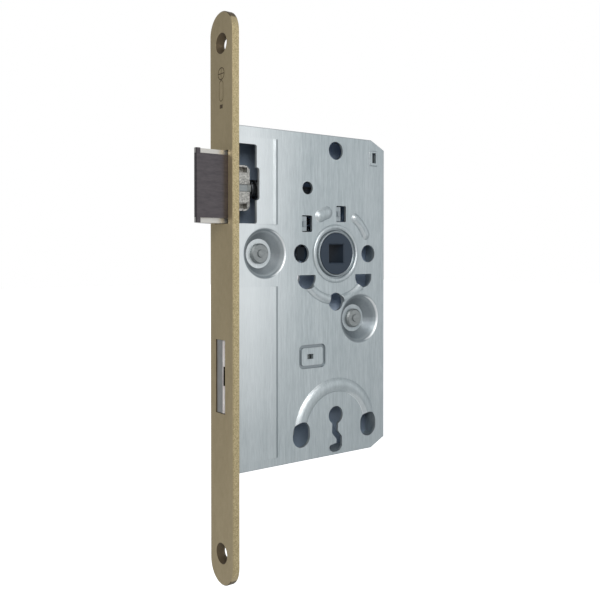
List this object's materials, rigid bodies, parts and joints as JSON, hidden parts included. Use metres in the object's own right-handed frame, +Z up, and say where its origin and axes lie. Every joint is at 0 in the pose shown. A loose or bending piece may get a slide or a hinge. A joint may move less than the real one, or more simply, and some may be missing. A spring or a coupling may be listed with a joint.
{
  "type": "mortise lock",
  "caption": "Warded interior-door mortise lock: round-ended forend, thin zinc case, bevelled spring latch, deadbolt and spindle follower.",
  "frame": {"origin": "on the follower's axis, in the middle of the case's thickness", "axes": "+X from the forend to the back of the case, -Y to the cover plate, +Z up"},
  "size_m": [0.0984, 0.018, 0.2351],
  "materials": {
    "forend_satin_gold": "satin champagne-gold lacquer on steel, fine mottled grain",
    "case_zinc": "bright zinc-plated sheet with a fine vertical grain",
    "rivet_steel": "zinc-plated steel, formed heads",
    "bush_steel": "turned bright steel",
    "follower_nylon": "dark moulded nylon",
    "spring_steel": "drawn spring wire, lightly oiled",
    "latch_nickel": "nickel-plated zinc casting, smooth faces and rough shank",
    "bolt_nickel": "nickel-plated zinc casting",
    "inner_steel": "stamped steel, lightly oiled"
  },
  "bodies": {
    "case": {"forend": "forend_satin_gold", "case_tray": "case_zinc", "cover_plate": "case_zinc", "case_rivets": "rivet_steel", "follower_bushes": "bush_steel", "bolt_guide_stud": "rivet_steel", "tumbler_pivot": "rivet_steel", "latch_spring": "spring_steel", "follower_spring": "spring_steel"},
    "follower": {"follower": "follower_nylon"},
    "latch": {"latch_head": "latch_nickel", "latch_tail": "inner_steel", "latch_pin": "inner_steel", "latch_clip": "rivet_steel"},
    "deadbolt": {"deadbolt_head": "bolt_nickel", "deadbolt_tail": "inner_steel", "deadbolt_rivets": "rivet_steel", "deadbolt_stump": "inner_steel"},
    "tumbler": {"tumbler": "inner_steel", "tumbler_spring": "spring_steel"}
  },
  "joints": [
    {"name": "follower_turn", "type": "hinge", "parent": "case", "child": "follower", "pos_m": [0, 0, 0], "axis": [0, 1, 0], "range_deg": [0, 40], "stiffness_Nm_per_rad": 0.8, "springref_deg": -28.65, "deforming": ["follower_spring"]},
    {"name": "latch_slide", "type": "slide", "parent": "case", "child": "latch", "axis": [1, 0, 0], "range_m": [0, 0.014], "deforming": ["latch_spring"]},
    {"name": "deadbolt_slide", "type": "slide", "parent": "case", "child": "deadbolt", "axis": [-1, 0, 0], "range_m": [0, 0.014]},
    {"name": "tumbler_lift", "type": "hinge", "parent": "case", "child": "tumbler", "pos_m": [0.022, 0, -0.052], "axis": [0, 1, 0], "range_deg": [-4, 0], "stiffness_Nm_per_rad": 0.05, "springref_deg": -22.92}
  ],
  "couplings": [
    {"joint": "follower_turn", "follows": "latch_slide", "rad_per_m": 49.87}
  ]
}
